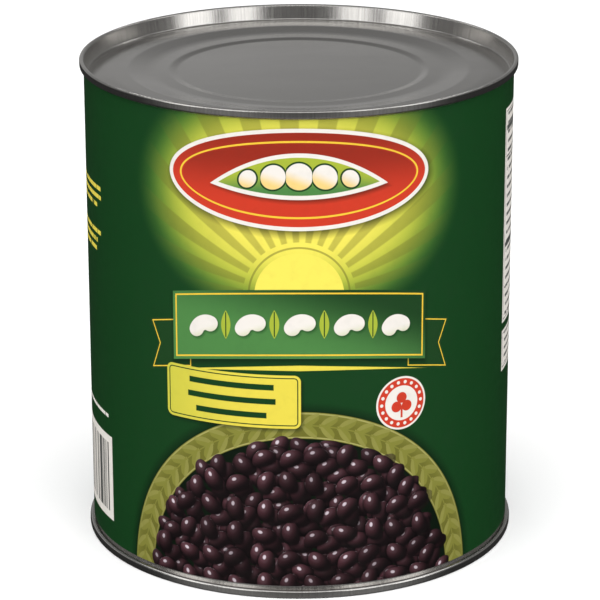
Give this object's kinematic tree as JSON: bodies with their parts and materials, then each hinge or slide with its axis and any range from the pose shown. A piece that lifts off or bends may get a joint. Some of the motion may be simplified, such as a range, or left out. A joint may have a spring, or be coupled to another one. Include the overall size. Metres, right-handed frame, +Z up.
{
  "type": "canned beans",
  "caption": "Tall catering-size steel food can, shut, with a rolled seam round each end, stepped rings pressed into the ends and a printed paper label wrapped round it.",
  "frame": {"origin": "centre of the bottom seam's rim, on the surface that the can stands on", "axes": "+Z up along the can's axis, -Y towards the front of the label, +X to its right seen from the front"},
  "size_m": [0.1572, 0.1572, 0.1778],
  "materials": {
    "tinplate": "satin tinplate",
    "steel_wall": "bare steel wall",
    "label_paper": null
  },
  "bodies": {
    "root": {"can_body": "steel_wall", "top_end": "tinplate", "bottom_end": "tinplate", "paper_label": "label_paper"}
  },
  "joints": []
}
